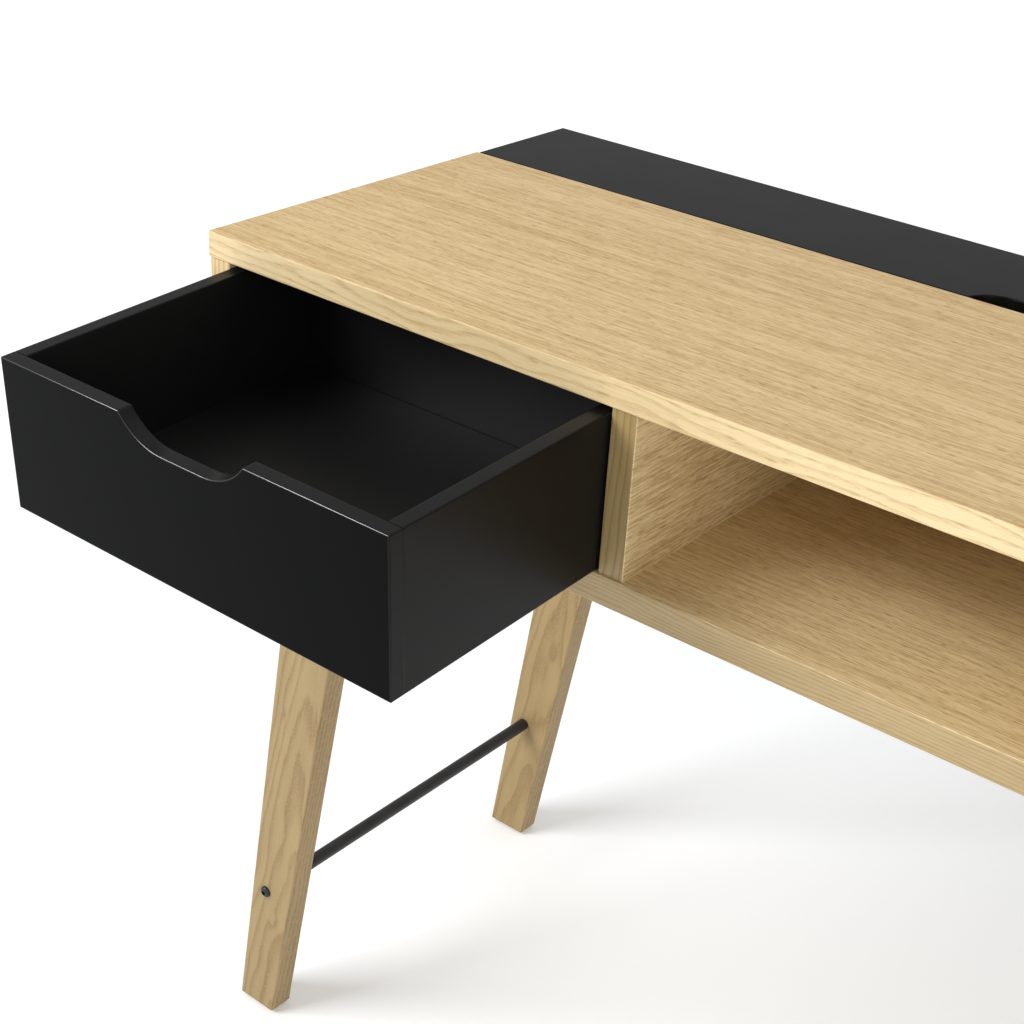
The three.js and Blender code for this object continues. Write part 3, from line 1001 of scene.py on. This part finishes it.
class MakeHinges(bpy.types.Operator):
    """Finish the lid hinges and put in their countersunk screws"""

    bl_idname = "desk.make_hinges"
    bl_label = "Make Hinges"

    def execute(self, context):
        sizes, look = context.scene.desk_sizes, context.scene.desk_colours
        steel = coated_steel("hinge_steel", look.steel)
        zinc = zinc_plate("hinge_zinc", look.zinc)
        for side in SIDES:
            dress(f"{side}_hinge_pin", zinc)
            for leaf, body in (("back", "desk"), ("lid", "lid")):
                node = f"{side}_hinge_{leaf}_leaf"
                dress(node, steel)
                self.screws(node, side, leaf, body, sizes, steel)
        return {"FINISHED"}

    def screws(self, node, side, leaf, body, sizes, steel):
        low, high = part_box(node)
        pin_low, pin_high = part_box(f"{side}_hinge_pin")
        axis_z = (pin_low.z + pin_high.z) / 2
        barrel = high.y - (pin_low.y + pin_high.y) / 2
        far = low.z if leaf == "back" else high.z
        level = (far + axis_z + math.copysign(barrel, far - axis_z)) / 2
        outer = low.y + 0.0015
        middle = (low.x + high.x) / 2
        spread = (high.x - low.x) * 0.36
        radius = sizes.screw_radius
        bm = bmesh.new()
        for step in (-1, 0, 1):
            profile = [
                (0, -0.0004),
                (radius, -0.0004),
                (radius, 0.0001),
                (radius * 0.9, 0.00025),
                (radius * 0.62, 0.0003),
                (radius * 0.58, -0.0002),
                (0, -0.0003),
            ]
            made = turned_piece(bm, profile, None, 32)
            shape_recess(made, 0.00031, radius * 0.62, cross)
            place = Matrix.Translation(Vector((middle + step * spread, outer, level)))
            place = place @ Matrix.Rotation(-math.pi / 2, 4, "X")
            bmesh.ops.transform(bm, matrix=place, verts=made)
        finish_piece(bm, node + "_screws", [steel], body)


class MakeStudio(bpy.types.Operator):
    """Make the pale floor, the soft lights and the camera"""

    bl_idname = "desk.make_studio"
    bl_label = "Make Studio"

    def execute(self, context):
        scene = context.scene
        self.floor(scene.desk_colours)
        self.sky(scene)
        self.lamp("key_softbox", (-1.9, -2.25, 2.4), (-0.2, 0, 0.6), 1.6, 92)
        self.lamp("top_softbox", (0.2, 0.6, 3.0), (0, 0.1, 0.6), 2.6, 10)
        self.lamp("fill_softbox", (2.6, -2.0, 1.4), (0, 0, 0.6), 1.6, 24)
        self.camera(scene)
        scene.view_settings.view_transform = "Standard"
        return {"FINISHED"}

    def floor(self, look):
        bm = bmesh.new()
        bmesh.ops.create_circle(bm, cap_ends=True, segments=96, radius=14)
        mesh = bpy.data.meshes.new("studio_floor")
        bm.to_mesh(mesh)
        bm.free()
        mesh.materials.append(studio_paper("studio_paper", look.floor))
        mesh.transform(Matrix.Translation((0, 0, -0.0002)))
        floor = bpy.data.objects.new("studio_floor", mesh)
        bpy.context.scene.collection.objects.link(floor)

    def sky(self, scene):
        """White walls, which light the desk less than they show."""
        world = bpy.data.worlds.new("studio_walls")
        scene.world = world
        world.use_nodes = True
        walls = world.node_tree.nodes["Background"]
        seen = world.node_tree.nodes.new("ShaderNodeLightPath")
        strength = world.node_tree.nodes.new("ShaderNodeMapRange")
        strength.inputs["To Min"].default_value = 0.5
        strength.inputs["To Max"].default_value = 1.0
        world.node_tree.links.new(seen.outputs["Is Camera Ray"], strength.inputs["Value"])
        world.node_tree.links.new(strength.outputs[0], walls.inputs["Strength"])
        walls.inputs["Color"].default_value = (1, 1, 1, 1)

    def lamp(self, name, place, aim, size, power):
        data = bpy.data.lights.new(name, "AREA")
        data.shape = "SQUARE"
        data.size = size
        data.energy = power
        lamp = bpy.data.objects.new(name, data)
        lamp.location = place
        lamp.rotation_mode = "QUATERNION"
        lamp.rotation_quaternion = (Vector(aim) - Vector(place)).to_track_quat("-Z", "Y")
        bpy.context.scene.collection.objects.link(lamp)

    def camera(self, scene):
        forward = Vector((-0.5427, 0.7003, -0.4637)).normalized()
        right = Vector((0.7712, 0.6342, 0.0552))
        right = (right - forward * right.dot(forward)).normalized()
        up = right.cross(forward)
        data = bpy.data.cameras.new("camera")
        data.lens = 63.97
        data.sensor_width = 36
        data.clip_start = 0.05
        camera = bpy.data.objects.new("camera", data)
        turn = Matrix((right, up, -forward)).transposed().to_4x4()
        camera.matrix_world = Matrix.Translation((0.4303, -0.9788, 1.2008)) @ turn
        scene.collection.objects.link(camera)
        scene.camera = camera


class DeskPanel(bpy.types.Panel):
    """Lists the desk's sizes, colours and operators"""

    bl_idname = "VIEW3D_PT_desk"
    bl_label = "Oak Writing Desk"
    bl_space_type = "VIEW_3D"
    bl_region_type = "UI"
    bl_category = "Desk"

    def draw(self, context):
        for operator in MAKERS:
            self.layout.operator(operator.bl_idname)
        for group in (context.scene.desk_sizes, context.scene.desk_colours):
            column = self.layout.column(align=True)
            for name in group.__annotations__:
                column.prop(group, name)


MAKERS = (MakeStudio, MakeBoards, MakeLid, MakeDrawers, MakeLegs, MakeRods, MakeHinges)
CLASSES = (DeskSizes, DeskColours, *MAKERS, DeskPanel)


def register():
    for cls in CLASSES:
        bpy.utils.register_class(cls)
    bpy.types.Scene.desk_sizes = PointerProperty(type=DeskSizes)
    bpy.types.Scene.desk_colours = PointerProperty(type=DeskColours)


def unregister():
    del bpy.types.Scene.desk_colours
    del bpy.types.Scene.desk_sizes
    for cls in reversed(CLASSES):
        bpy.utils.unregister_class(cls)


def main():
    register()
    bpy.ops.desk.make_studio()
    bpy.ops.desk.make_boards()
    bpy.ops.desk.make_lid()
    bpy.ops.desk.make_drawers()
    bpy.ops.desk.make_legs()
    bpy.ops.desk.make_rods()
    bpy.ops.desk.make_hinges()


if __name__ == "__main__":
    main()
